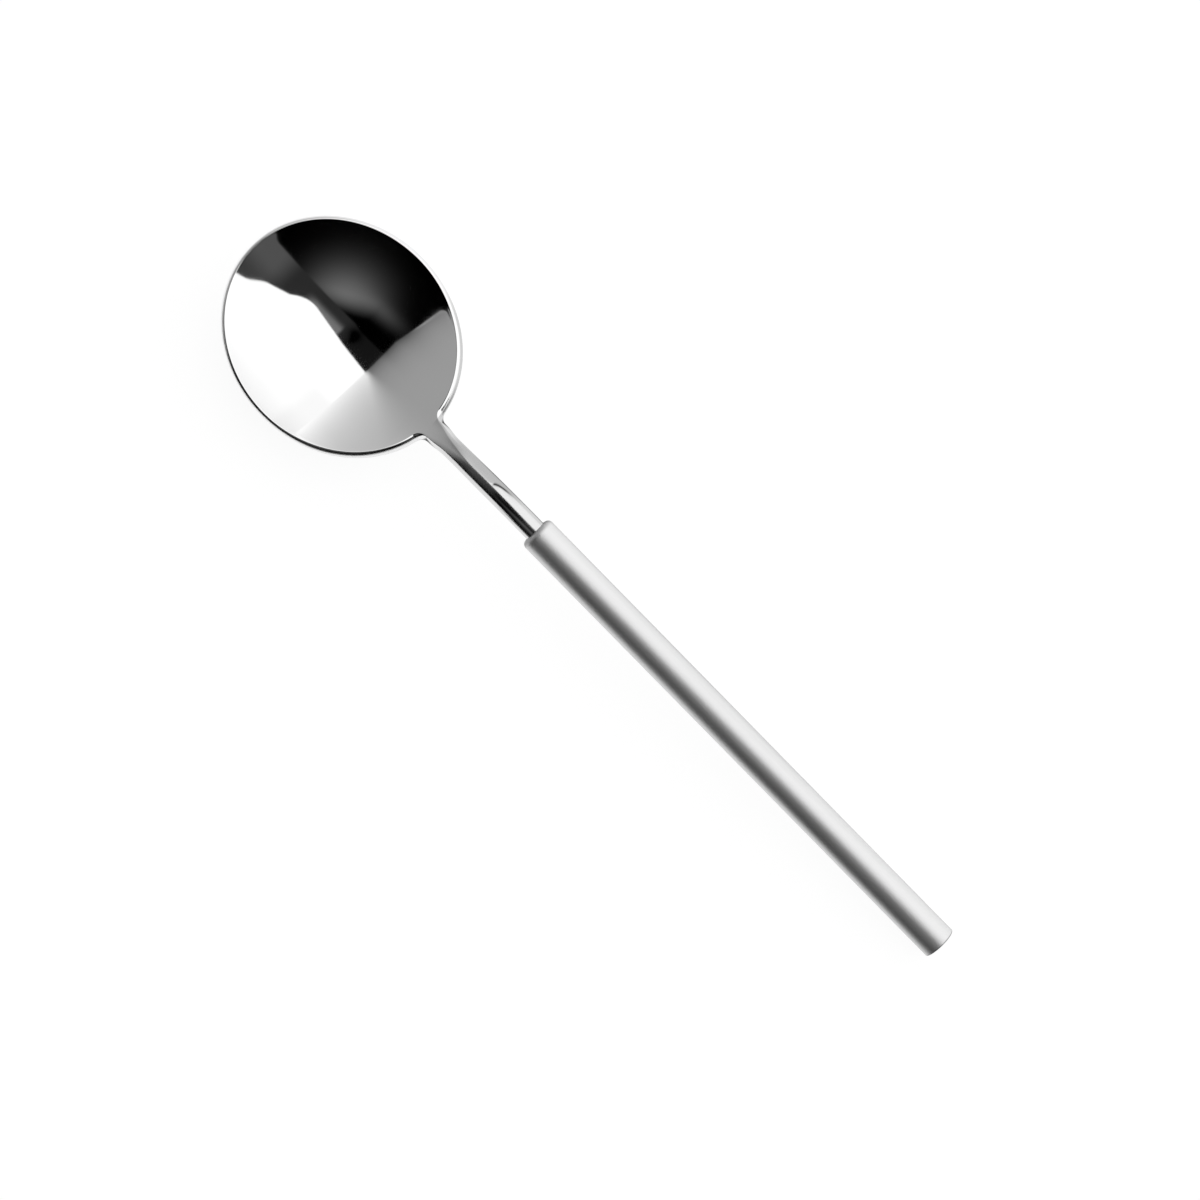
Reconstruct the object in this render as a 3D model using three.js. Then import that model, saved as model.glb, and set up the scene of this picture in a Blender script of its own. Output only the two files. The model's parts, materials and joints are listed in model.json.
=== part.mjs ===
// Sauce ladle in stainless steel: a forged, mirror-polished bowl and neck set in a satin tubular handle.
// Millimetres, +Z up. The ladle lies as on a table, on the bowl's underside and the handle's far end,
// with the bowl towards -X and the handle towards +X, and is symmetric about the XZ plane.
import * as THREE from "three";
import { mergeVertices } from "three/addons/utils/BufferGeometryUtils.js";

// Bowl: an oval dish with a square-cut rim, its wall thicker towards the neck
const BOWL_LENGTH = 54.7;
const BOWL_WIDTH = 48.3;
const BOWL_DEPTH = 12;
const BOWL_WALL = 1.2;
const RIM_ROUND = 0.3; // share of half the wall over which the rim's edge is broken

// Neck: a root that rises from the rim, turns into a round rod and bends into the handle's line
const NECK_LENGTH = 31.5;
const NECK_DIAMETER = 5;
const NECK_WAIST = 4.65;
const NECK_FILLET = 2;
const NECK_SLOPE = THREE.MathUtils.degToRad(18.8);
const ROOT_WIDTH = 5.4;
const ROOT_TAPER = 4.5; // length over which the root narrows to the waist
const ROOT_WALL = 2.2; // the bowl's wall where it meets the root
const ROD_INSIDE = 4; // how far inside the bowl's end the wall starts to thicken into the rod
const ROD_OUTSIDE = 10; // how far past the bowl's end the rod has its full thickness
const CROWN_INSIDE = 5.5; // how far inside the bowl's end the dish starts to ease into the neck
const CROWN_OUTSIDE = 12; // how far past the bowl's end the neck has its own slope
const ROUND_INSIDE = 3; // how far inside the bowl's end the rim's square edge starts to turn round
const ROUND_OUTSIDE = 13; // how far past the bowl's end the neck is round
const FULL_LENGTH = 12.5; // stretch of full diameter in front of the handle
const BEND_REACH = 6; // half the length of the bend into the handle's line
const BEND_TO_HANDLE = 1.5;

// Handle: a heavy-walled tube, closed by a bush at the neck and by a plug at the far end
const HANDLE_DIAMETER = 8;
const HANDLE_LENGTH = 126.6;
const TUBE_WALL = 1.25;
const FRONT_EDGE = 1.2;
const FAR_EDGE = 0.3;
const BUSH_LENGTH = 10;
const BUSH_WALL = 0.7;
const PLUG_LENGTH = 8;

// Tang: the neck's thinner end inside the handle, with ring grooves that the resin grips
const TANG_LENGTH = 30;
const GROOVE_DEPTH = 0.4;
const GROOVE_WIDTH = 2;
const GROOVE_PITCH = 5;
const RESIN_PAST_TANG = 4;

// Clearance between pieces that are pressed or bonded together
const FIT_GAP = 0.05;

// Fineness of the surfaces
const SIDES = 40;
const BOWL_STEPS = 36;
const FILLET_STEPS = 18;
const NECK_STEPS = 16;
const EDGE_ARC_STEPS = 3;
const FLAT_SHARE = 0.7; // share of a section's points on its flat, where the flat is wide
const SLOPE_STEP = 0.01; // distance over which a slope is measured
const HALVINGS = 45; // steps of each search by halving

const bowlHalfLength = BOWL_LENGTH / 2;
const bowlHalfWidth = BOWL_WIDTH / 2;
const neckRadius = NECK_DIAMETER / 2;
const neckEnd = bowlHalfLength + NECK_LENGTH;
const bendCentre = neckEnd - BEND_TO_HANDLE - BEND_REACH;
const fillet = rimFillet();
const handleHeight = middleHeight(neckEnd, 0) - rodDrop(neckEnd);
const handleFront = neckEnd + FIT_GAP;
const boreRadius = HANDLE_DIAMETER / 2 - TUBE_WALL;
const tangRadius = boreRadius - BUSH_WALL - 2 * FIT_GAP;

const polishedSteel = { color: 0xd9d9db, roughness: 0.06, metalness: 1 };
const satinSteel = { color: 0xb4b5b7, roughness: 0.42, metalness: 1 };
const curedResin = { color: 0xd6c8a2, roughness: 0.5, metalness: 0 };

function ease(value) {
  return THREE.MathUtils.smoothstep(value, 0, 1);
}

// A ramp of slope 1 from the centre on, whose corner is eased over the reach on either side.
function easedRamp(x, centre, reach) {
  const share = THREE.MathUtils.clamp((x - centre + reach) / (2 * reach), 0, 1);
  const eased = 2 * reach * (share ** 3 - share ** 4 / 2);
  return eased + Math.max(0, x - centre - reach);
}

// Height that the crown takes off the dish: along the centre line the dish's slope, which grows steadily,
// gives way by a smooth step to the neck's slope.
function crownDrop(x) {
  const start = bowlHalfLength - CROWN_INSIDE;
  const length = CROWN_INSIDE + CROWN_OUTSIDE;
  const growth = (2 * BOWL_DEPTH) / bowlHalfLength ** 2;
  const excess = growth * start - Math.tan(NECK_SLOPE);
  const share = THREE.MathUtils.clamp((x - start) / length, 0, 1);
  const levelPart = excess * (share ** 3 - share ** 4 / 2);
  const growingPart = growth * length * ((3 * share ** 4) / 4 - (2 * share ** 5) / 5);
  const past = Math.max(0, x - start - length);
  return length * (levelPart + growingPart) + (excess + growth * length) * past + (growth * past ** 2) / 2;
}

// Height of the middle of the wall over the rim plane: a parabolic dish that the crown eases into the
// sloping neck, which flattens across and bends into the handle's line.
function middleHeight(x, y) {
  const lengthwise = (x / bowlHalfLength) ** 2 - 1;
  const crosswise = (y / bowlHalfWidth) ** 2 * (1 - ease((x - bowlHalfLength) / CROWN_OUTSIDE));
  const bend = Math.tan(NECK_SLOPE) * easedRamp(x, bendCentre, BEND_REACH);
  return BOWL_DEPTH * (lengthwise + crosswise) - crownDrop(x) - bend;
}

// The rod's radius: the waist's, growing to the full radius in front of the handle.
function rodRadius(x) {
  const share = ease((x - fillet.centreX) / (neckEnd - FULL_LENGTH - fillet.centreX));
  return THREE.MathUtils.lerp(NECK_WAIST / 2, neckRadius, share);
}

// Half the neck's width in plan: the rod's radius, and more where the root flares.
function neckHalfWidth(x) {
  const flare = 1 - ease((x - fillet.centreX) / ROOT_TAPER);
  return rodRadius(x) + (flare * (ROOT_WIDTH - NECK_WAIST)) / 2;
}

// Half the thickness: the bowl's wall, growing towards the root, then the rod's radius.
function halfThickness(x) {
  const wall = THREE.MathUtils.lerp(BOWL_WALL, ROOT_WALL, ease(x / bowlHalfLength)) / 2;
  const rodShare = ease((x - bowlHalfLength + ROD_INSIDE) / (ROD_INSIDE + ROD_OUTSIDE));
  return THREE.MathUtils.lerp(wall, rodRadius(x), rodShare);
}

// How far the rod's axis lies below the middle of the wall: the root thickens downwards only.
function rodDrop(x) {
  return Math.max(0, halfThickness(x) - ROOT_WALL / 2);
}

// Where the fillet between rim and neck touches the oval, and the fillet's centre, in plan.
function rimFillet() {
  const centreY = ROOT_WIDTH / 2 + NECK_FILLET;
  let low = 0;
  let high = Math.PI / 2;
  let rimAngle = 0;
  const outward = new THREE.Vector2();
  for (let i = 0; i < HALVINGS; i += 1) {
    rimAngle = (low + high) / 2;
    outward.set(Math.cos(rimAngle) / bowlHalfLength, Math.sin(rimAngle) / bowlHalfWidth).normalize();
    if (bowlHalfWidth * Math.sin(rimAngle) + NECK_FILLET * outward.y > centreY) high = rimAngle;
    else low = rimAngle;
  }
  const centreX = bowlHalfLength * Math.cos(rimAngle) + NECK_FILLET * outward.x;
  const startAngle = Math.PI + Math.atan2(outward.y, outward.x);
  return { rimAngle, centreX, centreY, startAngle };
}

// The head's plan from the bowl's tip to the neck's end: points of the edge on the +Y side, each with the
// place on the centre line that its section starts from, square to the edge.
function planStations() {
  const { rimAngle, centreX, centreY, startAngle } = fillet;
  const normalShare = Math.max(0, 1 - (bowlHalfWidth / bowlHalfLength) ** 2);
  const stations = [];
  for (let i = 0; i <= BOWL_STEPS; i += 1) {
    const angle = THREE.MathUtils.lerp(Math.PI, rimAngle, i / BOWL_STEPS);
    const edge = new THREE.Vector2(bowlHalfLength * Math.cos(angle), bowlHalfWidth * Math.sin(angle));
    stations.push({ edge, centreX: normalShare * edge.x });
  }
  for (let i = 1; i <= FILLET_STEPS; i += 1) {
    const angle = THREE.MathUtils.lerp(startAngle, 1.5 * Math.PI, (i / FILLET_STEPS) ** 2);
    const edge = new THREE.Vector2(Math.cos(angle), Math.sin(angle)).multiplyScalar(NECK_FILLET);
    edge.add(new THREE.Vector2(centreX, centreY));
    stations.push({ edge, centreX: edge.x - edge.y / Math.tan(angle) });
  }
  for (let i = 1; i <= NECK_STEPS; i += 1) {
    const x = THREE.MathUtils.lerp(centreX, neckEnd, i / NECK_STEPS);
    stations.push({ edge: new THREE.Vector2(x, neckHalfWidth(x)), centreX: x });
  }
  return stations;
}

// The middle of the wall at x and y, moved along its normal.
function surfacePoint(x, y, lift) {
  const slopeX = (middleHeight(x + SLOPE_STEP, y) - middleHeight(x - SLOPE_STEP, y)) / (2 * SLOPE_STEP);
  const slopeY = (middleHeight(x, y + SLOPE_STEP) - middleHeight(x, y - SLOPE_STEP)) / (2 * SLOPE_STEP);
  const normal = new THREE.Vector3(-slopeX, -slopeY, 1).normalize();
  return new THREE.Vector3(x, y, middleHeight(x, y)).addScaledVector(normal, lift);
}

// One closed section of the head: from the +Y edge over the top to the -Y edge and back underneath.
// Across the bowl each half is flat up to the rim's broken edge. Along the neck the round takes over.
function headSection({ edge, centreX }) {
  const along = new THREE.Vector2(edge.x - centreX, edge.y);
  const width = along.length();
  along.normalize();
  const edgeHalf = Math.min(halfThickness(edge.x), width);
  const innerX = edge.x - along.x * SLOPE_STEP;
  const innerY = edge.y - along.y * SLOPE_STEP;
  const edgeSlope = (middleHeight(edge.x, edge.y) - middleHeight(innerX, innerY)) / SLOPE_STEP;
  const rimRound = (RIM_ROUND * edgeHalf) / Math.hypot(1, edgeSlope);
  const roundShare = ease((edge.x - bowlHalfLength + ROUND_INSIDE) / (ROUND_INSIDE + ROUND_OUTSIDE));
  const roundWidth = THREE.MathUtils.lerp(rimRound, Math.min(width, neckRadius), roundShare);
  const flatWidth = width - roundWidth;
  const flatShare = (FLAT_SHARE * flatWidth) / (flatWidth + 2 * edgeHalf);
  const quarter = SIDES / 4;

  function pointAt(step, side, face) {
    const share = step / quarter;
    let reach = flatWidth;
    let cover = 1;
    if (share < flatShare) {
      reach *= share / flatShare;
    } else {
      const turn = ((Math.PI / 2) * (share - flatShare)) / (1 - flatShare);
      reach += roundWidth * Math.sin(turn);
      cover = Math.cos(turn);
    }
    const x = centreX + along.x * reach;
    const lift = face * cover * Math.min(halfThickness(x), width) - rodDrop(x);
    return surfacePoint(x, side * along.y * reach, lift);
  }

  const loop = [];
  for (let step = quarter; step > 0; step -= 1) loop.push(pointAt(step, 1, 1));
  for (let step = 0; step < quarter; step += 1) loop.push(pointAt(step, -1, 1));
  for (let step = quarter; step > 0; step -= 1) loop.push(pointAt(step, -1, -1));
  for (let step = 0; step < quarter; step += 1) loop.push(pointAt(step, 1, -1));
  return loop;
}

// Start and end of each ring groove, from the handle's front, on the stretch of tang behind the bush.
function tangGrooves() {
  const count = Math.floor((TANG_LENGTH - BUSH_LENGTH - GROOVE_WIDTH) / GROOVE_PITCH);
  const grooves = [];
  for (let i = 1; i <= count; i += 1) {
    const start = BUSH_LENGTH + i * GROOVE_PITCH - GROOVE_WIDTH;
    grooves.push({ start, end: start + GROOVE_WIDTH });
  }
  return grooves;
}

// The tang's outline as distance behind the handle's front and radius, grown all round by the gap.
function tangOutline(gap) {
  const outline = [];
  for (const { start, end } of tangGrooves()) {
    outline.push([start + gap, tangRadius + gap]);
    outline.push([start + gap, tangRadius - GROOVE_DEPTH + gap]);
    outline.push([end - gap, tangRadius - GROOVE_DEPTH + gap]);
    outline.push([end - gap, tangRadius + gap]);
  }
  outline.push([TANG_LENGTH + gap, tangRadius + gap]);
  return outline;
}

function tangRing([distance, radius]) {
  const loop = [];
  for (let i = 0; i < SIDES; i += 1) {
    const angle = (2 * Math.PI * i) / SIDES;
    const y = radius * Math.cos(angle);
    const z = handleHeight + radius * Math.sin(angle);
    loop.push(new THREE.Vector3(handleFront + distance, y, z));
  }
  return loop;
}

// The skin through a row of closed loops, shut at its last loop by a fan. The first loop is folded flat.
function loftGeometry(loops, endCentre) {
  const points = [...loops.flat(), endCentre];
  const triangles = [];
  for (let row = 0; row < loops.length; row += 1) {
    for (let i = 0; i < SIDES; i += 1) {
      const next = (i + 1) % SIDES;
      const here = row * SIDES;
      const beyond = here + SIDES;
      if (row < loops.length - 1) {
        triangles.push(here + i, beyond + next, beyond + i);
        triangles.push(here + i, here + next, beyond + next);
      } else {
        triangles.push(here + i, here + next, points.length - 1);
      }
    }
  }
  const geometry = new THREE.BufferGeometry().setFromPoints(points);
  geometry.setIndex(triangles);
  return mergeVertices(geometry);
}

function headGeometry() {
  const neck = planStations().map(headSection);
  const tang = [[-FIT_GAP, tangRadius], ...tangOutline(0)].map(tangRing);
  const endCentre = new THREE.Vector3(handleFront + TANG_LENGTH, 0, handleHeight);
  return loftGeometry([...neck, ...tang], endCentre);
}

// A turned piece from its profile of radius and distance behind the handle's front, its axis along +X.
function turnedGeometry(profile) {
  return new THREE.LatheGeometry(profile, SIDES).rotateZ(-Math.PI / 2);
}

function tubeGeometry() {
  const radius = HANDLE_DIAMETER / 2;
  const frontEdge = Math.min(FRONT_EDGE, TUBE_WALL - FIT_GAP);
  const farEdge = Math.min(FAR_EDGE, TUBE_WALL - FIT_GAP);
  const profile = new THREE.Path();
  profile.moveTo(boreRadius, 0);
  profile.lineTo(radius - frontEdge, 0);
  profile.absarc(radius - frontEdge, frontEdge, frontEdge, -Math.PI / 2, 0);
  profile.lineTo(radius, HANDLE_LENGTH - farEdge);
  profile.absarc(radius - farEdge, HANDLE_LENGTH - farEdge, farEdge, 0, Math.PI / 2);
  profile.lineTo(boreRadius, HANDLE_LENGTH);
  profile.lineTo(boreRadius, 0);
  return turnedGeometry(profile.getPoints(EDGE_ARC_STEPS));
}

function bushGeometry() {
  const inner = tangRadius + FIT_GAP;
  const outer = boreRadius - FIT_GAP;
  const profile = new THREE.Path();
  profile.moveTo(inner, 0);
  profile.lineTo(outer, 0);
  profile.lineTo(outer, BUSH_LENGTH);
  profile.lineTo(inner, BUSH_LENGTH);
  profile.lineTo(inner, 0);
  return turnedGeometry(profile.getPoints());
}

function plugGeometry() {
  const outer = boreRadius - FIT_GAP;
  const profile = new THREE.Path();
  profile.moveTo(0, HANDLE_LENGTH - PLUG_LENGTH);
  profile.lineTo(outer, HANDLE_LENGTH - PLUG_LENGTH);
  profile.lineTo(outer, HANDLE_LENGTH);
  profile.lineTo(0, HANDLE_LENGTH);
  return turnedGeometry(profile.getPoints());
}

// Resin round the tang and a little past it: its inner face follows the tang's grooves.
function resinGeometry() {
  const outer = boreRadius - FIT_GAP;
  const near = BUSH_LENGTH + FIT_GAP;
  const far = TANG_LENGTH + RESIN_PAST_TANG;
  const inner = tangOutline(FIT_GAP).map(([distance, radius]) => new THREE.Vector2(radius, distance));
  inner.push(new THREE.Vector2(0, TANG_LENGTH + FIT_GAP));
  const profile = [
    ...inner.reverse(),
    new THREE.Vector2(tangRadius + FIT_GAP, near),
    new THREE.Vector2(outer, near),
    new THREE.Vector2(outer, far),
    new THREE.Vector2(0, far),
  ];
  return turnedGeometry(profile);
}

function named(name, geometry, finish) {
  const mesh = new THREE.Mesh(geometry, new THREE.MeshStandardMaterial(finish));
  mesh.name = name;
  return mesh;
}

// Lowest height of a piece that is turned about the Y axis from a place on the ladle's own axes.
function lowestHeight(mesh, offset, tilt) {
  const turned = mesh.geometry.clone().translate(offset.x, offset.y, offset.z).rotateY(tilt);
  turned.computeBoundingBox();
  return turned.boundingBox.min.z;
}

// The tilt at which the bowl and the handle's far end touch the table together.
function restingTilt(head, tube, handlePlace) {
  const headPlace = new THREE.Vector3();
  let low = 0;
  let high = Math.PI / 4;
  for (let i = 0; i < HALVINGS; i += 1) {
    const tilt = (low + high) / 2;
    const drop = lowestHeight(tube, handlePlace, tilt) - lowestHeight(head, headPlace, tilt);
    if (drop > 0) low = tilt;
    else high = tilt;
  }
  return (low + high) / 2;
}

const head = named("bowl_and_neck", headGeometry(), polishedSteel);
const tube = named("handle_tube", tubeGeometry(), satinSteel);
const bush = named("front_bush", bushGeometry(), satinSteel);
const resin = named("tang_resin", resinGeometry(), curedResin);
const plug = named("end_plug", plugGeometry(), satinSteel);

const handle = new THREE.Group();
handle.position.set(handleFront, 0, handleHeight);
handle.add(tube, bush, resin, plug);

const lying = new THREE.Group();
lying.add(head, handle);
lying.rotation.y = restingTilt(head, tube, handle.position);
const reach = new THREE.Box3().setFromObject(lying, true);
const middle = reach.getCenter(new THREE.Vector3());
lying.position.set(-middle.x, -middle.y, -reach.min.z);

const ladle = new THREE.Group();
ladle.add(lying);

export default ladle;
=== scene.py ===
"""Sauce ladle: a mirror-polished bowl and neck in a satin tubular handle, lying on a white table.

Sizes are in millimetres on the ladle's own axes: x runs from the bowl's middle to the handle's far end,
the rim lies at z = 0, and everything is symmetric about y = 0. lay_down() turns these into the row frame.
"""

import json
import math

import bmesh
import bpy
import numpy as np
from mathutils import Matrix, Vector


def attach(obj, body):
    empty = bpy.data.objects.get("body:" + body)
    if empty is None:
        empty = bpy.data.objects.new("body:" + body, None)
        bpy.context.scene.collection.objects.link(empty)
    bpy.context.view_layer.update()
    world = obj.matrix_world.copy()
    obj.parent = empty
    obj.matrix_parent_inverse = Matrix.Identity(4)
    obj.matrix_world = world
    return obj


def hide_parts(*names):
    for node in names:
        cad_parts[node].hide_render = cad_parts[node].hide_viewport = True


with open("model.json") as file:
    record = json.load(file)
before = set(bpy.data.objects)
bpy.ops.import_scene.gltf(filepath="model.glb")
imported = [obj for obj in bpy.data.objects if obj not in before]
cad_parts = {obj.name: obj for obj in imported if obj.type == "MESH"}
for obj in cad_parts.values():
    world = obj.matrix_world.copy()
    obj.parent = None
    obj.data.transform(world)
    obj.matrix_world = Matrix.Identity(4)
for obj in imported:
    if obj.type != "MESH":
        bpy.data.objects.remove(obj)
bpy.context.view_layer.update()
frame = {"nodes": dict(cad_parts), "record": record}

MM = 0.001

# Bowl: the wall is square to the surface, and RIM_ROUND is a share of half of it.
BOWL_LENGTH = 54.7
BOWL_WIDTH = 48.3
BOWL_DEPTH = 12.0
BOWL_WALL = 1.2
RIM_ROUND = 0.3

# Neck: the lengths INSIDE and OUTSIDE are reaches along x on either side of the rim. Over them the wall
# grows into the rod, the dish's slope gives way to the neck's, and flat sections become round ones.
NECK_LENGTH = 31.5
NECK_DIAMETER = 5.0
NECK_WAIST = 4.65
NECK_FILLET = 2.0
NECK_SLOPE = math.tan(math.radians(18.8))
ROOT_WIDTH = 5.4
ROOT_TAPER = 4.5
ROOT_WALL = 2.2
ROD_INSIDE = 4.0
ROD_OUTSIDE = 10.0
CROWN_INSIDE = 5.5
CROWN_OUTSIDE = 12.0
ROUND_INSIDE = 3.0
ROUND_OUTSIDE = 13.0
FULL_LENGTH = 12.5
BEND_REACH = 6.0
BEND_TO_HANDLE = 1.5

# Handle
HANDLE_DIAMETER = 8.0
HANDLE_LENGTH = 126.6
TUBE_WALL = 1.25
FRONT_EDGE = 1.2
FAR_EDGE = 0.3
BUSH_LENGTH = 10.0
BUSH_WALL = 0.7
PLUG_LENGTH = 8.0
SEAM_EDGE = 0.12
TANG_LENGTH = 30.0
GROOVE_DEPTH = 0.4
GROOVE_WIDTH = 2.0
GROOVE_PITCH = 5.0
GROOVE_COUNT = 3
FIT_GAP = 0.05

# Fineness of the grids
OVAL_STEPS = 170
FILLET_STEPS = 64
NECK_STEPS = 90
TUBE_STEPS = 61
FRONT_EDGE_STEPS = 20
FAR_EDGE_STEPS = 8
SEAM_STEPS = 6
RIM_FAN = 400001
QUARTER = 56
FLAT_SHARE = 0.7
SIDES = 160
SLOPE_STEP = 0.01
SHARP_ANGLE = math.radians(38.0)
WELD_DISTANCE = 2e-7
TINY = 1e-9

# Camera, in metres. The focal length and the frame's side are in pixels of the photo.
CAMERA_DISTANCE = 0.8
CAMERA_ELEVATION = math.radians(87.9)
CAMERA_ROLL = math.radians(45.33471)
CAMERA_TARGET = Vector((0.000722, -0.000254, 0.010))
FOCAL_PIXELS = 3682.8
FRAME_PIXELS = 1200.0
SENSOR_WIDTH = 36.0

half_length = BOWL_LENGTH / 2
half_width = BOWL_WIDTH / 2
neck_radius = NECK_DIAMETER / 2
neck_end = half_length + NECK_LENGTH
bend_centre = neck_end - BEND_TO_HANDLE - BEND_REACH
handle_front = neck_end + FIT_GAP
bore_radius = HANDLE_DIAMETER / 2 - TUBE_WALL
tang_radius = bore_radius - BUSH_WALL - 2 * FIT_GAP

handle_end = frame["record"]["mounts"][0]
mount_point = np.array(handle_end["pos_m"])
handle_axis = np.array(handle_end["axis"])
across_axis = np.array([-handle_axis[2], 0.0, handle_axis[0]])
resting_tilt = math.atan2(-handle_axis[2], handle_axis[0])


def lay_down(points):
    """The ladle's own axes turned so that x follows the record's handle axis, in metres, with the middle of
    the handle's far face on the record's mount."""
    far = np.array([handle_front + HANDLE_LENGTH, 0.0, handle_height])
    rest = points - far
    turned = rest[..., 0:1] * handle_axis + rest[..., 2:3] * across_axis
    turned[..., 1] += rest[..., 1]
    return turned * MM + mount_point


def ease(share):
    """Smooth step: 3 t squared minus 2 t cubed, held at 0 and 1 outside."""
    t = np.clip(share, 0.0, 1.0)
    return t * t * (3 - 2 * t)


def mix(start, end, share):
    return start + (end - start) * share


def eased_ramp(x, centre, reach):
    """A ramp of slope 1 from the centre on, whose corner is eased over the reach on either side."""
    t = np.clip((x - centre + reach) / (2 * reach), 0.0, 1.0)
    return 2 * reach * (t**3 - t**4 / 2) + np.maximum(0.0, x - centre - reach)


def crown_drop(x):
    """Height that the crown takes off the dish: the dish's slope, growing steadily along the centre line,
    gives way by a smooth step to the neck's slope. This is the integral of their difference."""
    start = half_length - CROWN_INSIDE
    length = CROWN_INSIDE + CROWN_OUTSIDE
    growth = 2 * BOWL_DEPTH / half_length**2
    excess = growth * start - NECK_SLOPE
    t = np.clip((x - start) / length, 0.0, 1.0)
    past = np.maximum(0.0, x - start - length)
    eased = excess * (t**3 - t**4 / 2) + growth * length * (3 * t**4 / 4 - 2 * t**5 / 5)
    return length * eased + (excess + growth * length) * past + growth * past**2 / 2


def middle_height(x, y):
    """Middle of the wall: a paraboloid whose depth is zero on the oval, less the crown that eases it into
    the neck's slope, less the bend into the handle's line. Past the oval it flattens across."""
    lengthwise = (x / half_length) ** 2 - 1
    crosswise = (y / half_width) ** 2 * (1 - ease((x - half_length) / CROWN_OUTSIDE))
    bend = NECK_SLOPE * eased_ramp(x, bend_centre, BEND_REACH)
    return BOWL_DEPTH * (lengthwise + crosswise) - crown_drop(x) - bend


def rim_fillet():
    """Where a circle of the fillet's radius touches both the oval and the neck's side, found on a fine fan
    of rim angles, with the circle's centre and the angle that its arc starts from."""
    angle = np.linspace(0.0, math.pi / 2, RIM_FAN)
    normal = np.stack([np.cos(angle) / half_length, np.sin(angle) / half_width], -1)
    normal /= np.linalg.norm(normal, axis=-1, keepdims=True)
    centre_y = ROOT_WIDTH / 2 + NECK_FILLET
    miss = np.abs(half_width * np.sin(angle) + NECK_FILLET * normal[:, 1] - centre_y)
    found = int(np.argmin(miss))
    centre_x = half_length * np.cos(angle[found]) + NECK_FILLET * normal[found, 0]
    start = math.pi + math.atan2(normal[found, 1], normal[found, 0])
    return angle[found], centre_x, centre_y, start


rim_angle, fillet_x, fillet_y, fillet_start = rim_fillet()


def rod_radius(x):
    """The rod's radius: the waist's, growing to the full radius in front of the handle."""
    share = ease((x - fillet_x) / (neck_end - FULL_LENGTH - fillet_x))
    return mix(NECK_WAIST / 2, neck_radius, share)


def neck_half_width(x):
    """Half the neck's width in plan: the rod's radius, and more where the root flares."""
    flare = 1.0 - ease((x - fillet_x) / ROOT_TAPER)
    return rod_radius(x) + flare * (ROOT_WIDTH - NECK_WAIST) / 2


def half_thickness(x):
    """Half the wall: the bowl's, growing towards the root, then the rod's radius."""
    wall = mix(BOWL_WALL, ROOT_WALL, ease(x / half_length)) / 2
    rod_share = ease((x - half_length + ROD_INSIDE) / (ROD_INSIDE + ROD_OUTSIDE))
    return mix(wall, rod_radius(x), rod_share)


def rod_drop(x):
    """How far the rod's axis lies below the middle of the wall: the root thickens downwards only."""
    return np.maximum(0.0, half_thickness(x) - ROOT_WALL / 2)


handle_height = float(middle_height(neck_end, 0.0) - rod_drop(neck_end))


def surface_point(x, y, lift):
    """The middle surface at x, y moved by lift along its normal, from slopes over a small step."""
    step = SLOPE_STEP
    slope_x = (middle_height(x + step, y) - middle_height(x - step, y)) / (2 * step)
    slope_y = (middle_height(x, y + step) - middle_height(x, y - step)) / (2 * step)
    normal = np.stack([-slope_x, -slope_y, np.ones_like(x)], -1)
    normal /= np.linalg.norm(normal, axis=-1, keepdims=True)
    return np.stack([x, y, middle_height(x, y)], -1) + normal * lift[..., None]


def plan_stations():
    """The head's plan from the bowl's tip to the neck's end, as edge x, edge y and the place on the centre
    line that each section starts from, square to the edge: the oval, the fillet's arc, the neck's side."""
    share = max(0.0, 1 - (half_width / half_length) ** 2)
    angle = np.linspace(math.pi, rim_angle, OVAL_STEPS + 1)
    oval = [half_length * np.cos(angle), half_width * np.sin(angle), share * half_length * np.cos(angle)]
    turn = mix(fillet_start, 1.5 * math.pi, (np.arange(1, FILLET_STEPS + 1) / FILLET_STEPS) ** 2)
    edge_x = fillet_x + NECK_FILLET * np.cos(turn)
    edge_y = fillet_y + NECK_FILLET * np.sin(turn)
    fillet = [edge_x, edge_y, edge_x - edge_y / np.tan(turn)]
    x = mix(fillet_x, neck_end, np.arange(1, NECK_STEPS + 1) / NECK_STEPS)
    neck = [x, neck_half_width(x), x]
    return np.concatenate([np.array(oval), np.array(fillet), np.array(neck)], axis=1)


def head_quarter(edge_x, edge_y, centre_x, side, face):
    """A quarter of every section, from the centre line to the edge. It runs flat along the line from the
    centre point to the edge and ends in a quarter oval: at the rim a short one, foreshortened by the edge's
    slope, and along the neck one that takes over the whole width. The rod's drop lowers all of it."""
    along = np.stack([edge_x - centre_x, edge_y], -1)
    width = np.linalg.norm(along, axis=-1)
    along /= width[:, None]
    edge_half = np.minimum(half_thickness(edge_x), width)
    inner = middle_height(edge_x - along[:, 0] * SLOPE_STEP, edge_y - along[:, 1] * SLOPE_STEP)
    edge_slope = (middle_height(edge_x, edge_y) - inner) / SLOPE_STEP
    rim_round = RIM_ROUND * edge_half / np.hypot(1.0, edge_slope)
    round_share = ease((edge_x - half_length + ROUND_INSIDE) / (ROUND_INSIDE + ROUND_OUTSIDE))
    round_width = mix(rim_round, np.minimum(width, neck_radius), round_share)
    flat = width - round_width
    flat_share = (FLAT_SHARE * flat / (flat + 2 * edge_half))[:, None]
    share = (np.arange(QUARTER + 1) / QUARTER)[None, :]
    turn = np.clip((share - flat_share) / (1 - flat_share), 0.0, 1.0) * math.pi / 2
    level = np.clip(share / np.maximum(flat_share, TINY), 0.0, 1.0)
    reach = flat[:, None] * level + round_width[:, None] * np.sin(turn)
    x = centre_x[:, None] + along[:, 0:1] * reach
    y = side * along[:, 1:2] * reach
    lift = face * np.cos(turn) * np.minimum(half_thickness(x), width[:, None]) - rod_drop(x)
    return surface_point(x, y, lift)


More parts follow.
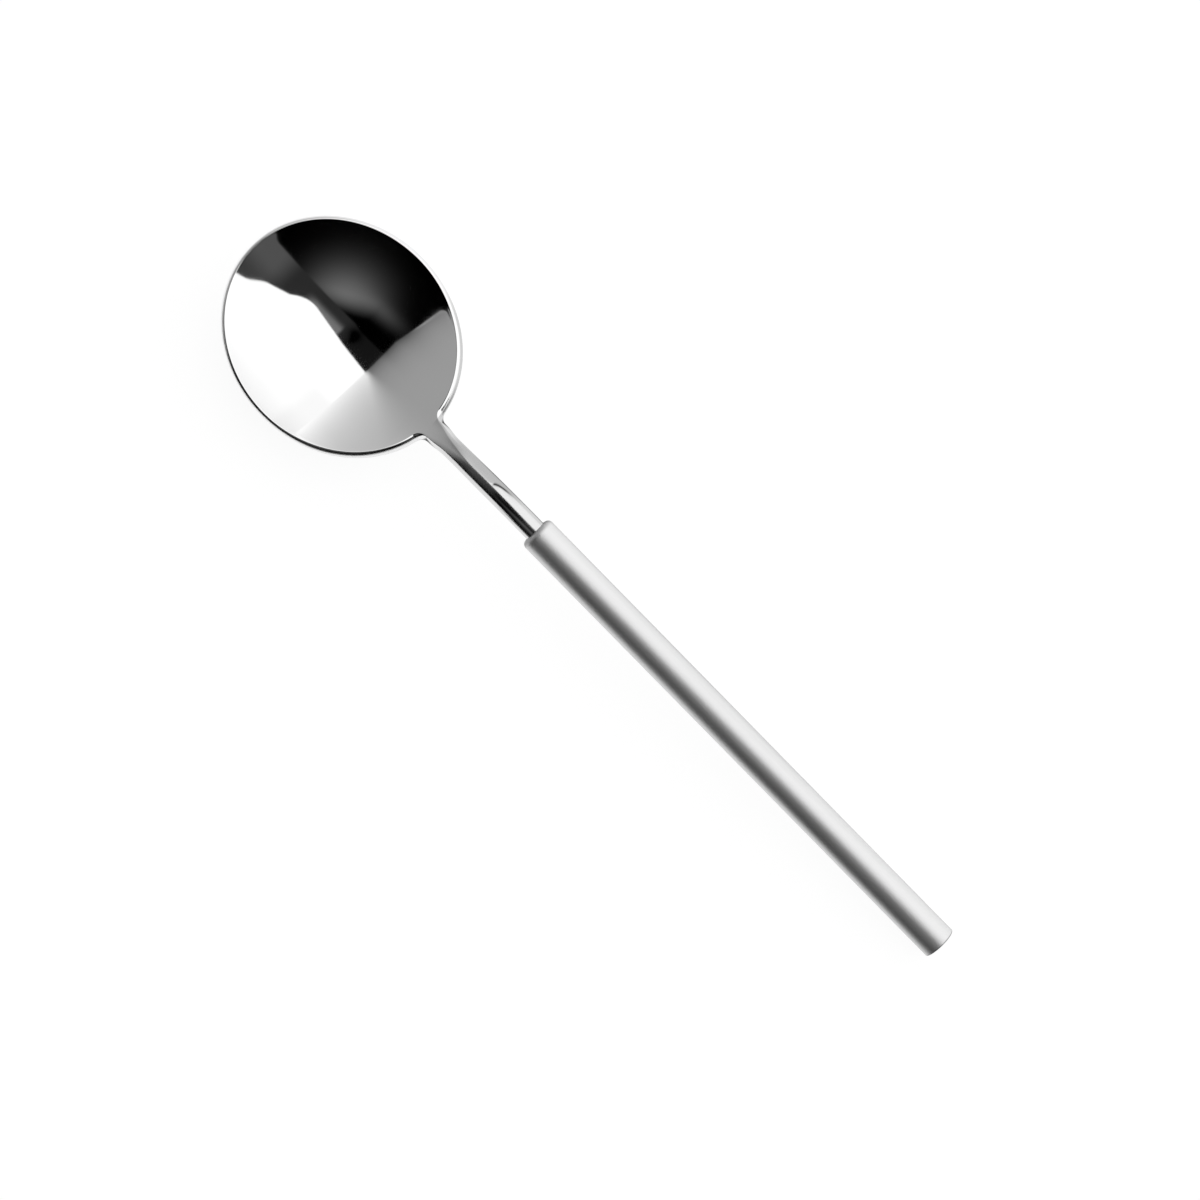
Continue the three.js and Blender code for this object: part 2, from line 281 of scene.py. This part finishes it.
def turned_grid(profile, sides=SIDES):
    """A profile of radius and distance behind the handle's front, carried round the handle's axis."""
    radius, distance = np.asarray(profile).T
    turn = 2 * math.pi * np.arange(sides) / sides
    x = np.broadcast_to((handle_front + distance)[:, None], (len(radius), sides))
    y = radius[:, None] * np.cos(turn)
    z = handle_height + radius[:, None] * np.sin(turn)
    return np.stack([x, y, z], -1)


def tang_profile():
    """The tang inside the handle: its shoulder, the sides of its grooves and its end."""
    profile = [(tang_radius, -FIT_GAP)]
    for groove in range(1, GROOVE_COUNT + 1):
        end = BUSH_LENGTH + groove * GROOVE_PITCH
        start = end - GROOVE_WIDTH
        low = tang_radius - GROOVE_DEPTH
        profile += [(tang_radius, start), (low, start), (low, end), (tang_radius, end)]
    return profile + [(tang_radius, TANG_LENGTH), (0.0, TANG_LENGTH)]


def head_grid():
    """Closed sections in a row from the bowl's tip to the tang's end. Each runs from the +Y edge over the
    top to the -Y edge and back underneath; the first one is folded flat on the centre line."""
    edge_x, edge_y, centre_x = plan_stations()
    quarters = [head_quarter(edge_x, edge_y, centre_x, *way) for way in ((1, 1), (-1, 1), (-1, -1), (1, -1))]
    loop = np.concatenate(
        [quarters[0][:, :0:-1], quarters[1][:, :-1], quarters[2][:, :0:-1], quarters[3][:, :-1]], axis=1
    )
    return np.concatenate([loop, turned_grid(tang_profile(), loop.shape[1])])


def arc(centre_radius, centre_distance, size, start, end, steps):
    """Points of a circular arc in the plane of radius and distance, with angles in quarter turns."""
    turn = np.linspace(start, end, steps + 1) * math.pi / 2
    return np.stack([centre_radius + size * np.cos(turn), centre_distance + size * np.sin(turn)], -1)


def tube_profile():
    """The tube's wall: a round front edge, the long outside, a crisp far edge, and the bore."""
    radius = HANDLE_DIAMETER / 2
    front = arc(radius - FRONT_EDGE, FRONT_EDGE, FRONT_EDGE, -1, 0, FRONT_EDGE_STEPS)
    far = arc(radius - FAR_EDGE, HANDLE_LENGTH - FAR_EDGE, FAR_EDGE, 0, 1, FAR_EDGE_STEPS)
    lengthwise = np.linspace(FRONT_EDGE, HANDLE_LENGTH - FAR_EDGE, TUBE_STEPS + 1)[1:-1]
    outside = np.stack([np.full_like(lengthwise, radius), lengthwise], -1)
    bore = [[bore_radius, HANDLE_LENGTH], [bore_radius, 0.0]]
    return np.concatenate([front, outside, far, bore])


def bush_profile():
    """The bush: a ring between tang and tube, its front edges broken so that the joint shows as a line."""
    inner = tang_radius + FIT_GAP
    outer = bore_radius - FIT_GAP
    front = arc(outer - SEAM_EDGE, SEAM_EDGE, SEAM_EDGE, -1, 0, SEAM_STEPS)
    rest = [[outer, BUSH_LENGTH], [inner, BUSH_LENGTH], [inner, 0.0]]
    return np.concatenate([front, rest])


def plug_profile():
    """The plug: a disc from axis to axis, its outer end edge broken so that the joint shows as a line."""
    outer = bore_radius - FIT_GAP
    end = arc(outer - SEAM_EDGE, HANDLE_LENGTH - SEAM_EDGE, SEAM_EDGE, 0, 1, SEAM_STEPS)
    start = [[0.0, HANDLE_LENGTH - PLUG_LENGTH], [outer, HANDLE_LENGTH - PLUG_LENGTH]]
    return np.concatenate([start, end, [[0.0, HANDLE_LENGTH]]])


def grid_piece(name, grid, closed_rows, material):
    """A piece from a grid of points whose columns close round; its rows close too where that is asked.
    Points that fall together are welded, faces turned outwards, and edges over the sharp angle kept."""
    rows, columns = grid.shape[:2]
    index = np.arange(rows * columns).reshape(rows, columns)
    here = index if closed_rows else index[:-1]
    beyond = np.roll(index, -1, axis=0)[: len(here)]
    quads = np.stack([here, np.roll(here, -1, 1), np.roll(beyond, -1, 1), beyond], -1).reshape(-1, 4)
    mesh = bpy.data.meshes.new(name)
    mesh.from_pydata(lay_down(grid).reshape(-1, 3), [], quads.tolist())
    shape = bmesh.new()
    shape.from_mesh(mesh)
    bmesh.ops.remove_doubles(shape, verts=shape.verts, dist=WELD_DISTANCE)
    bmesh.ops.recalc_face_normals(shape, faces=shape.faces)
    shape.to_mesh(mesh)
    shape.free()
    mesh.shade_smooth()
    mesh.set_sharp_from_angle(angle=SHARP_ANGLE)
    mesh.materials.append(material)
    piece = bpy.data.objects.new(name, mesh)
    bpy.context.scene.collection.objects.link(piece)
    return piece


class Field:
    """A value in a node tree. Arithmetic on it adds Math nodes, so that formulas read as formulas."""

    def __init__(self, tree, socket):
        self.tree = tree
        self.socket = socket

    def math(self, operation, *others):
        node = self.tree.nodes.new("ShaderNodeMath")
        node.operation = operation
        for slot, value in zip(node.inputs, (self, *others)):
            if isinstance(value, Field):
                self.tree.links.new(value.socket, slot)
            else:
                slot.default_value = value
        return Field(self.tree, node.outputs[0])

    def __add__(self, other):
        return self.math("ADD", other)

    def __sub__(self, other):
        return self.math("SUBTRACT", other)

    def __mul__(self, other):
        return self.math("MULTIPLY", other)

    def __truediv__(self, other):
        return self.math("DIVIDE", other)

    def __neg__(self):
        return self * -1.0

    def larger(self, other):
        return self.math("MAXIMUM", other)

    def smaller(self, other):
        return self.math("MINIMUM", other)

    def step(self, start, end, low=0.0, high=1.0):
        """Smooth step from low to high as the value goes from start to end."""
        node = self.tree.nodes.new("ShaderNodeMapRange")
        node.interpolation_type = "SMOOTHSTEP"
        self.tree.links.new(self.socket, node.inputs["Value"])
        for name, value in (("From Min", start), ("From Max", end), ("To Min", low), ("To Max", high)):
            node.inputs[name].default_value = value
        return Field(self.tree, node.outputs[0])

    def toward(self, other, share):
        """Mix from this value to the other by the share."""
        return self + (share * (-self + other))

    def rest(self):
        """One minus this value."""
        return -self + 1.0

    def fall(self, length):
        """Decay: e to the minus value over length."""
        return (self / -length).math("EXPONENT")

    def bell(self):
        """Bell curve: e to the minus half of the square."""
        return (self * self * -0.5).math("EXPONENT")

    def feed(self, shader, name):
        self.tree.links.new(self.socket, shader.inputs[name])


def hypotenuse(a, b):
    return ((a * a) + (b * b)).math("SQRT")


def spot(s, t, centre, width):
    """A soft round spot in (s, t): a bell curve either way."""
    return ((s - centre[0]) / width[0]).bell() * ((t - centre[1]) / width[1]).bell()


def split(tree, socket):
    node = tree.nodes.new("ShaderNodeSeparateXYZ")
    tree.links.new(socket, node.inputs[0])
    return [Field(tree, output) for output in node.outputs]


def coordinates(tree, kind):
    return tree.nodes.new("ShaderNodeTexCoord").outputs[kind]


def light_path(tree, kind):
    return Field(tree, tree.nodes.new("ShaderNodeLightPath").outputs[kind])


def black_cloth(s, t):
    """Brightness of the black cloth in front: a broad sheen and a small one, which fade out past a fold."""
    fold_slope, fold_middle, fold_lowest = 0.652, -0.366, -0.376
    broad = spot(s, t, centre=(0.194, -0.194), width=(0.169, 0.216)) * 0.19
    small = spot(s, t, centre=(-0.065, -0.393), width=(0.125, 0.055)) * 0.053
    fold = ((s * fold_slope) + fold_middle).larger(fold_lowest)
    return (broad + small) * (t - fold).step(-0.115, 0.115, 1.0, 0.0)


def dark_gap(s, t):
    """The dark gap between cloth and wall, as brightness and cover. Light spills into it from the wall, and
    the camera hangs in it as a dark shape of two spots. Its front hem comes forward at the far right."""
    camera_shade = 1.2
    hem_bend_from, hem_bend = 0.82, 11.7
    glow = t.step(-0.125, -0.02)
    spill = glow * glow * s.step(0.065, 0.095) * s.step(0.33, 0.45, 0.16, 0.0)
    level = s.step(0.56, 0.75, 0.026, 0.09)
    dim_left = s.step(-0.05, 0.12, 0.3, 1.0)
    dim_back = t.step(0.0, 0.25, 1.0, 0.55)
    camera = spot(s, t, centre=(-0.02, -0.095), width=(0.04, 0.035))
    camera = camera + spot(s, t, centre=(-0.03, -0.05), width=(0.016, 0.03))
    beside_camera = (camera * -camera_shade + 1.0).larger(0.0)
    past = (s - hem_bend_from).larger(0.0)
    hem = t - s.step(-0.05, 0.05, 0.018, 0.0) + (past * past * hem_bend)
    brightness = ((level * dim_left * dim_back) + spill) * beside_camera
    return brightness, hem.step(-0.175, -0.161)


def light_wall(s, t):
    """The white wall of light at the back, as brightness and cover. Its edge overhead falls from left to
    right, then bends up into a steady rise and levels out. The wall dims low down, most on the left."""
    crest, slope_left, slope_right = 0.039, -0.14, -0.2
    bend_from, bend, bend_lowest = 0.34, 3.3, -0.024
    rise_slope, rise_start = 0.5, -0.18
    highest = 0.32
    falling = ((s * slope_left) + crest).smaller((s * slope_right) + crest)
    past = (s - bend_from).larger(0.0)
    bending = (past * past * bend) + bend_lowest
    rising = (s * rise_slope) + rise_start + s.step(0.68, 0.82, 0.0, 0.067)
    edge = falling.larger(bending.smaller(rising)).smaller(highest)
    white = t.step(0.7, 1.0, 1.2, 1.08)
    dim_left = s.step(-0.16, -0.02, 0.09, 0.0) * t.step(0.44, 0.54)
    return white - dim_left, (t - edge).step(-0.004, 0.012)


def grey_card(s, t):
    """The grey card on the left, as brightness and cover. Towards its edge it darkens in front and lightens
    at the back. Its front end runs askew, with a rounded corner and a light line just inside the edge."""
    edge_at, lean_from, lean = 0.273, 0.3, 0.195
    end_at, skew_from, skew = 0.757, 0.39, 0.45
    corner, line_inside, line_width = 0.035, 0.006, 0.005
    leaning = (-t - lean_from).larger(0.0) * lean
    inside = (-s - leaning - edge_at).larger(-0.1)

    front_edge = t.step(-0.18, -0.09, -0.295, -0.24) * t.step(-0.6, -0.38, 0.65, 1.0)
    front = (inside.fall(0.085) * front_edge) + 0.375
    back = (inside.fall(0.15) * 0.55) + t.step(0.66, 0.86, 0.48, 0.53)
    back = back * t.step(0.1, 0.75, 0.96, 1.1)
    deep = (inside - 0.03).larger(0.0)
    backward = (t + (deep * 0.25) - 0.035) / ((deep * 1.2) + 0.07)
    brightness = front.toward(back, backward.step(0.0, 1.0))

    skewed = (-s - skew_from).larger(0.0) * skew
    from_side = (-inside + corner).larger(0.0)
    from_end = (-t - end_at + corner + skewed).larger(0.0)
    outward = hypotenuse(from_side, from_end) - corner
    line = ((outward + line_inside) / line_width).bell() * t.step(-0.6, -0.42, 0.16, 0.0)
    return brightness + line, outward.step(-0.004, 0.005, 1.0, 0.0)


def studio_world():
    """Soft studio round the ladle. A direction is read as (s, t), its x and y over one plus its z, so that
    the middle is overhead and the unit circle is the horizon. Cloth, gap, wall and card cover each other in
    that order. The camera itself sees plain white."""
    world = bpy.data.worlds.new("studio")
    bpy.context.scene.world = world
    world.use_nodes = True
    tree = world.node_tree
    tree.nodes.clear()
    x, y, z = split(tree, coordinates(tree, "Generated"))
    drop = (z + 1.0).larger(0.05)
    s = x / drop
    t = y / drop
    shade = black_cloth(s, t)
    for layer in (dark_gap, light_wall, grey_card):
        shade = shade.toward(*layer(s, t))
    shade = shade.toward(1.0, light_path(tree, "Is Camera Ray"))
    background = tree.nodes.new("ShaderNodeBackground")
    shade.feed(background, "Color")
    output = tree.nodes.new("ShaderNodeOutputWorld")
    tree.links.new(background.outputs[0], output.inputs["Surface"])


def grain_group():
    """Streaks of a worked metal surface, from 0 to 1: fine noise on a place that is scaled along the first
    axis and across it, so that a small scale along draws the streaks out."""
    group = bpy.data.node_groups.new("metal_grain", "ShaderNodeTree")
    group.interface.new_socket("Place", in_out="INPUT", socket_type="NodeSocketVector")
    group.interface.new_socket("Along", in_out="INPUT", socket_type="NodeSocketFloat")
    group.interface.new_socket("Across", in_out="INPUT", socket_type="NodeSocketFloat")
    group.interface.new_socket("Grain", in_out="OUTPUT", socket_type="NodeSocketFloat")
    start = group.nodes.new("NodeGroupInput")
    x, y, z = split(group, start.outputs["Place"])
    along = Field(group, start.outputs["Along"])
    across = Field(group, start.outputs["Across"])
    scaled = group.nodes.new("ShaderNodeCombineXYZ")
    for slot, value in zip(scaled.inputs, (x * along, y * across, z * across)):
        group.links.new(value.socket, slot)
    noise = group.nodes.new("ShaderNodeTexNoise")
    noise.inputs["Scale"].default_value = 1.0
    noise.inputs["Detail"].default_value = 3.0
    noise.inputs["Roughness"].default_value = 0.6
    group.links.new(scaled.outputs[0], noise.inputs["Vector"])
    end = group.nodes.new("NodeGroupOutput")
    group.links.new(noise.outputs["Fac"], end.inputs["Grain"])
    return group


def new_material(name, metallic=0.0):
    material = bpy.data.materials.new(name)
    material.use_nodes = True
    tree = material.node_tree
    shader = tree.nodes["Principled BSDF"]
    shader.inputs["Metallic"].default_value = metallic
    return material, tree, shader


def handle_place(tree):
    """Object coordinates turned so that the first axis is the handle's, from the middle of its far face."""
    turn = tree.nodes.new("ShaderNodeMapping")
    offset = (-float(mount_point @ handle_axis), 0.0, -float(mount_point @ across_axis))
    turn.inputs["Rotation"].default_value = (0.0, -resting_tilt, 0.0)
    turn.inputs["Location"].default_value = offset
    tree.links.new(coordinates(tree, "Object"), turn.inputs["Vector"])
    return turn.outputs[0]


def own_place(tree):
    """The ladle's own x and y in millimetres, from the Object coordinates."""
    x, y, z = split(tree, coordinates(tree, "Object"))
    start = handle_front + HANDLE_LENGTH - float(mount_point @ handle_axis) / MM
    along = (x * float(handle_axis[0])) + (z * float(handle_axis[2]))
    return (along / MM) + start, y / MM


def grain(tree, place, along, across):
    node = tree.nodes.new("ShaderNodeGroup")
    node.node_tree = metal_grain
    tree.links.new(place, node.inputs["Place"])
    node.inputs["Along"].default_value = along
    node.inputs["Across"].default_value = across
    return Field(tree, node.outputs["Grain"])


def tint(shader, share, dark, light):
    """Base colour between a dark and a light shade by the share."""
    blend = share.tree.nodes.new("ShaderNodeMix")
    blend.data_type = "RGBA"
    blend.inputs["A"].default_value = (*dark, 1.0)
    blend.inputs["B"].default_value = (*light, 1.0)
    share.feed(blend, "Factor")
    share.tree.links.new(blend.outputs["Result"], shader.inputs["Base Color"])


def relief(shader, height, depth):
    """Bump of the given depth in metres."""
    bump = height.tree.nodes.new("ShaderNodeBump")
    bump.inputs["Strength"].default_value = 1.0
    bump.inputs["Distance"].default_value = depth
    height.feed(bump, "Height")
    height.tree.links.new(bump.outputs[0], shader.inputs["Normal"])


def far_side_shade(along, y):
    """How much painted shade darkens the neck's far side, standing in for a darker reflection, and how dark
    the painted fine line along its border is. The border slants over the top of the neck and then swings out
    to the side, where the line starts and fades."""
    line_start, line_side, line_slant = 45.5, 1.7, 0.42
    swing, swing_length = 0.9, 1.4
    past = along - line_start
    swung = past.larger(0.0).fall(swing_length) * swing
    above = y - line_side + swung - (past.smaller(0.0) * line_slant)
    side = along.step(30.0, 35.5) * y.step(-0.3, 0.7) * above.step(-0.1, 0.1)
    side = side * past.step(3.0, 9.0, 0.34, 0.1)
    line = (above / past.step(0.0, 1.8, 0.24, 0.15)).bell()
    line = line * past.step(-0.4, 0.0) * past.step(2.0, 5.4, 0.95, 0.0)
    return side, line


def polished_steel():
    """Mirror polish: a faint haze in patches and hairlines from the polishing wheel. The rim's cut face is
    a little dull, and painted shade greys the rim's outer edge on the far side towards the neck. From the
    root on the neck is rougher and painted a darker tone that dims its reflections; on its far side a
    painted darker reflection ends at a fine painted dark line."""
    bowl_tone, neck_tone, rim_rough = 0.845, 0.69, 0.22
    material, tree, shader = new_material("polished_steel", metallic=1.0)
    place = handle_place(tree)
    haze = grain(tree, place, along=90.0, across=90.0)
    hairline = grain(tree, place, along=700.0, across=3500.0)
    along, y = own_place(tree)
    neck = along.step(26.5, 34.5)
    off_neck = y.math("ABSOLUTE").step(2.7, 3.7) * neck.rest()
    oval = hypotenuse(along / half_length, y / half_width)
    rim = oval.step(0.979, 0.987) * off_neck
    # painted shade: darkens the rim's outer edge on the far side towards the neck
    rim_edge_shade = oval.step(0.992, 0.998) * along.step(6.0, 16.0) * y.step(0.0, 3.0, 0.0, 0.3) * neck.rest()
    # painted reflection: the neck's far side is darker up to a fine painted dark line
    side, line = far_side_shade(along, y)
    # the neck's lower tone is painted to dim its reflections
    tone = ((haze * 0.03) + bowl_tone).toward((haze * 0.04) + neck_tone, neck)
    tone = tone * side.rest() * line.rest() * rim_edge_shade.rest()
    bowl_rough = haze.step(0.3, 0.75, 0.03, 0.075) + (hairline * 0.02)
    neck_rough = haze.step(0.3, 0.7, 0.16, 0.21)
    tone.feed(shader, "Base Color")
    bowl_rough.toward(neck_rough, neck).toward(rim_rough, rim).feed(shader, "Roughness")
    relief(shader, hairline, depth=1.2e-6)
    return material


def satin_steel():
    """Satin finish: fine streaks along the handle, with broader, fainter bands under them. Both ends carry
    painted shade: the front edge, most on its near side, and a thin band on the far edge's rounding."""
    material, tree, shader = new_material("satin_steel", metallic=1.0)
    place = handle_place(tree)
    streak = grain(tree, place, along=60.0, across=5200.0)
    band = grain(tree, place, along=25.0, across=600.0)
    satin_grain = (streak * 0.6) + (band * 0.4)
    along, y = own_place(tree)
    # painted shade on the front edge, deeper on the near side
    front = (along - handle_front).step(0.3, 1.4, 1.0, 0.0) * y.step(-3.0, 0.0, 0.5, 0.27)
    to_end = -along + (handle_front + HANDLE_LENGTH)
    # painted shade: a thin darker band on the far edge's rounding
    far = to_end.step(0.02, 0.08) * to_end.step(0.16, 0.36, 0.6, 0.0)
    tone = satin_grain.step(0.25, 0.75, 0.79, 0.855) * front.rest() * far.rest()
    tone.feed(shader, "Base Color")
    satin_grain.step(0.3, 0.7, 0.47, 0.53).feed(shader, "Roughness")
    relief(shader, streak, depth=2.5e-6)
    return material


def turned_steel():
    """Turned finish of the plug: rings round the handle's axis from the facing cut."""
    material, tree, shader = new_material("turned_steel", metallic=1.0)
    x, y, z = split(tree, handle_place(tree))
    ring = tree.nodes.new("ShaderNodeCombineXYZ")
    x.feed(ring, "X")
    hypotenuse(y, z).feed(ring, "Y")
    cut = grain(tree, ring.outputs[0], along=60.0, across=6000.0)
    tint(shader, cut.step(0.25, 0.75), dark=(0.72, 0.72, 0.725), light=(0.82, 0.82, 0.825))
    cut.step(0.3, 0.7, 0.26, 0.36).feed(shader, "Roughness")
    relief(shader, cut, depth=4e-6)
    return material


def cured_resin():
    """Cured bonding resin: amber with cloudy patches and the dents of fine bubbles."""
    bubbles_per_metre = 2500.0
    material, tree, shader = new_material("cured_resin")
    place = handle_place(tree)
    cloud = grain(tree, place, along=350.0, across=350.0)
    bubbles = tree.nodes.new("ShaderNodeTexVoronoi")
    bubbles.inputs["Scale"].default_value = bubbles_per_metre
    tree.links.new(place, bubbles.inputs["Vector"])
    dent = Field(tree, bubbles.outputs["Distance"]).step(0.1, 0.35)
    tint(shader, cloud.step(0.3, 0.7), dark=(0.56, 0.44, 0.23), light=(0.72, 0.62, 0.4))
    cloud.step(0.3, 0.7, 0.35, 0.55).feed(shader, "Roughness")
    relief(shader, dent, depth=3e-5)
    return material


def white_table():
    """White table: a diffuse sheet that takes the shadow, lit up to white for the camera. The metal sees it
    as white too, except for the dark cloth at its front, the shade under the bowl and the shade behind the
    handle. The cloth's edge and the handle's shade come closer where the handle is lower. In metres."""
    camera_white, mirrored_white = 0.925, 0.93
    grey, white = (0.15, 0.15, 0.15, 1.0), (1.0, 1.0, 1.0, 1.0)
    cloth_slope, cloth_start, cloth_bend = 0.43, -0.066, -0.02
    shade_slope = 0.08
    material, tree, shader = new_material("white_table")
    shader.inputs["Base Color"].default_value = grey
    shader.inputs["Roughness"].default_value = 0.9
    shader.inputs["Emission Color"].default_value = white
    x, y, _ = split(tree, coordinates(tree, "Object"))
    cloth_edge = (x.larger(cloth_bend) * cloth_slope) + cloth_start
    beside_bowl = x.step(-0.05, -0.03, 1.0, 0.0)
    bare = (y - cloth_edge).step(-0.014, 0.014).larger(beside_bowl)
    bowl_middle = float(lay_down(np.zeros(3))[0])
    past_bowl = hypotenuse(x - bowl_middle, y).step(0.028, 0.033)
    behind = ((x * shade_slope) + y).step(0.012, 0.02, 0.8, 0.0)
    behind = behind * y.step(0.002, 0.004) * x.step(-0.045, -0.035)
    mirrored = light_path(tree, "Is Glossy Ray") * bare * past_bowl * behind.rest() * mirrored_white
    seen = light_path(tree, "Is Camera Ray") * camera_white
    seen.larger(mirrored).feed(shader, "Emission Strength")
    return material


def table_top():
    reach = 4.0
    corners = [(-reach, -reach, 0), (reach, -reach, 0), (reach, reach, 0), (-reach, reach, 0)]
    mesh = bpy.data.meshes.new("table_top")
    mesh.from_pydata(corners, [], [(0, 1, 2, 3)])
    mesh.materials.append(white_table())
    sheet = bpy.data.objects.new("table_top", mesh)
    bpy.context.scene.collection.objects.link(sheet)


def photo_camera():
    """Camera nearly straight above the ladle, rolled so that the handle runs down to the right."""
    back = Vector((0.0, -math.cos(CAMERA_ELEVATION), math.sin(CAMERA_ELEVATION)))
    level = (-back).cross(Vector((0, 0, 1))).normalized()
    down = (-back).cross(level)
    right = level * math.cos(CAMERA_ROLL) - down * math.sin(CAMERA_ROLL)
    up = back.cross(right)
    data = bpy.data.cameras.new("photo_camera")
    data.sensor_width = SENSOR_WIDTH
    data.lens = SENSOR_WIDTH * FOCAL_PIXELS / FRAME_PIXELS
    camera = bpy.data.objects.new("photo_camera", data)
    turn = Matrix((right, up, back)).transposed().to_4x4()
    camera.matrix_world = Matrix.Translation(CAMERA_TARGET + back * CAMERA_DISTANCE) @ turn
    bpy.context.scene.collection.objects.link(camera)
    bpy.context.scene.camera = camera


bpy.context.scene.view_settings.view_transform = "Standard"
photo_camera()
studio_world()
table_top()

metal_grain = grain_group()
mirror = polished_steel()
satin = satin_steel()
turned = turned_steel()
pieces = (
    ("ladle_head", head_grid(), False, mirror, "bowl_and_neck", "polished_steel"),
    ("handle_sleeve", turned_grid(tube_profile()), True, satin, "handle_tube", "satin_steel"),
    ("handle_bush", turned_grid(bush_profile()), True, satin, "front_bush", "satin_steel"),
    ("handle_plug", turned_grid(plug_profile()), False, turned, "end_plug", "satin_steel"),
)
for name, grid, closed, finish, node, slot in pieces:
    piece = grid_piece(name, grid, closed, finish)
    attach(piece, "root")
    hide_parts(node)
resin = frame["nodes"]["tang_resin"].data.materials
resin.clear()
resin.append(cured_resin())
